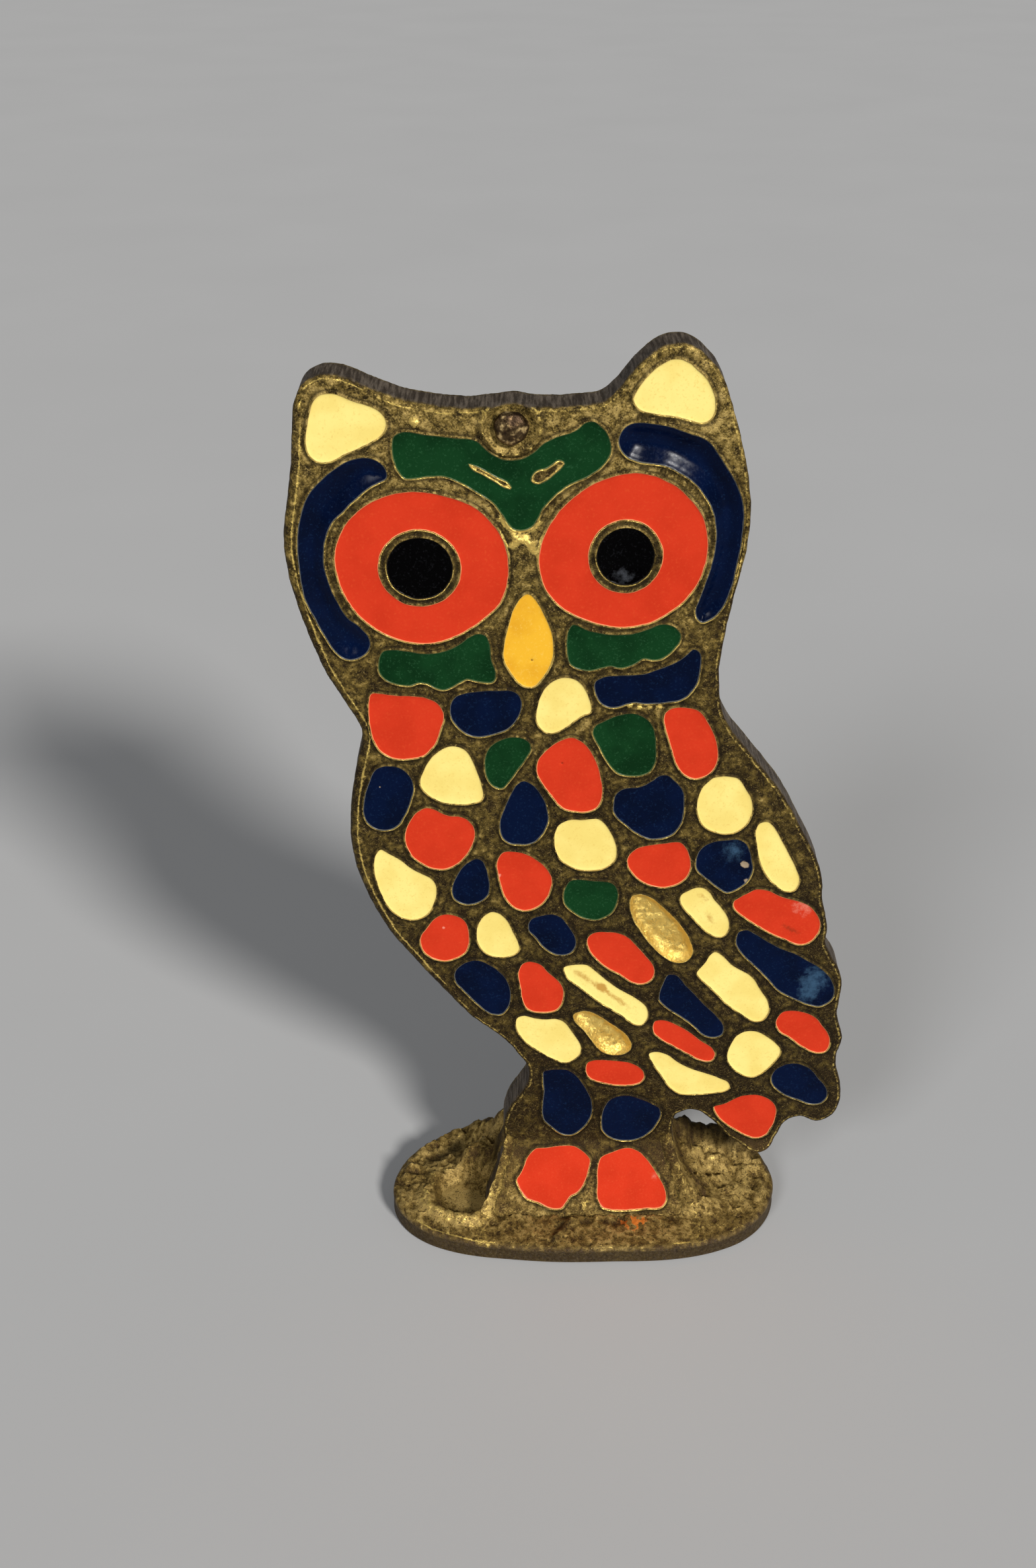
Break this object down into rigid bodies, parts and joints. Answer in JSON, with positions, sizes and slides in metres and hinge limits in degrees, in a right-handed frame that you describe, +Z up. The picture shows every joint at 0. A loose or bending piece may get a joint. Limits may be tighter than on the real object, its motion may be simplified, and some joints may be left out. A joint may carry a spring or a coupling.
{
  "type": "enamelled brass owl figurine",
  "caption": "Free-standing cast-brass owl: a flat plate rising from an oval rocky base, its face, breast, wing and feet sunk with shallow cells of coloured enamel.",
  "frame": {"origin": "on the flat underside of the base, under the middle of the base's length and in the middle plane of the plate", "axes": "+Z up from the base to the ears; the enamelled face looks along -Y; +X to the right as the face is looked at, towards the tail"},
  "size_m": [0.0569, 0.0202, 0.1001],
  "materials": {
    "cast_brass": "cast and file-marked, dark patina, bright worn rims",
    "rivet_brass": "hammered, dark brown patina",
    "enamel_red": "opaque glossy orange-red enamel",
    "enamel_cream": "opaque pale yellow enamel with fine specks",
    "enamel_blue": "opaque glossy navy enamel",
    "enamel_green": "opaque glossy bottle-green enamel",
    "enamel_yellow": "opaque glossy amber-yellow enamel",
    "enamel_black": "opaque glossy black enamel"
  },
  "bodies": {
    "root": {"brass_casting": "cast_brass", "head_rivet": "rivet_brass", "ear_left_cream": "enamel_cream", "ear_right_cream": "enamel_cream", "brow_arc_left_blue": "enamel_blue", "brow_arc_right_blue": "enamel_blue", "forehead_green": "enamel_green", "iris_left_red": "enamel_red", "iris_right_red": "enamel_red", "pupil_left_black": "enamel_black", "pupil_right_black": "enamel_black", "beak_yellow": "enamel_yellow", "cheek_left_green": "enamel_green", "cheek_right_green": "enamel_green", "collar_right_blue": "enamel_blue", "feather_1a_red": "enamel_red", "feather_1b_blue": "enamel_blue", "feather_1c_cream": "enamel_cream", "feather_1d_green": "enamel_green", "feather_1e_red": "enamel_red", "feather_2a_blue": "enamel_blue", "feather_2b_cream": "enamel_cream", "feather_2c_green": "enamel_green", "feather_2d_red": "enamel_red", "feather_2e_blue": "enamel_blue", "feather_2f_cream": "enamel_cream", "feather_3a_red": "enamel_red", "feather_3b_blue": "enamel_blue", "feather_3c_cream": "enamel_cream", "feather_3d_red": "enamel_red", "feather_3e_blue": "enamel_blue", "feather_3f_cream": "enamel_cream", "feather_4a_cream": "enamel_cream", "feather_4b_blue": "enamel_blue", "feather_4c_red": "enamel_red", "feather_4d_green": "enamel_green", "feather_4e_cream": "enamel_cream", "feather_4f_red": "enamel_red", "feather_5a_red": "enamel_red", "feather_5b_cream": "enamel_cream", "feather_5c_blue": "enamel_blue", "feather_5d_red": "enamel_red", "feather_5e_blue": "enamel_blue", "feather_6a_blue": "enamel_blue", "feather_6b_red": "enamel_red", "feather_6c_cream": "enamel_cream", "feather_6d_blue": "enamel_blue", "feather_6e_cream": "enamel_cream", "feather_7a_cream": "enamel_cream", "feather_7b_red": "enamel_red", "feather_7c_cream": "enamel_cream", "feather_7d_red": "enamel_red", "feather_8a_red": "enamel_red", "feather_8b_cream": "enamel_cream", "feather_8c_blue": "enamel_blue", "tail_red": "enamel_red", "leg_left_blue": "enamel_blue", "leg_right_blue": "enamel_blue", "foot_left_red": "enamel_red", "foot_right_red": "enamel_red"}
  },
  "joints": []
}
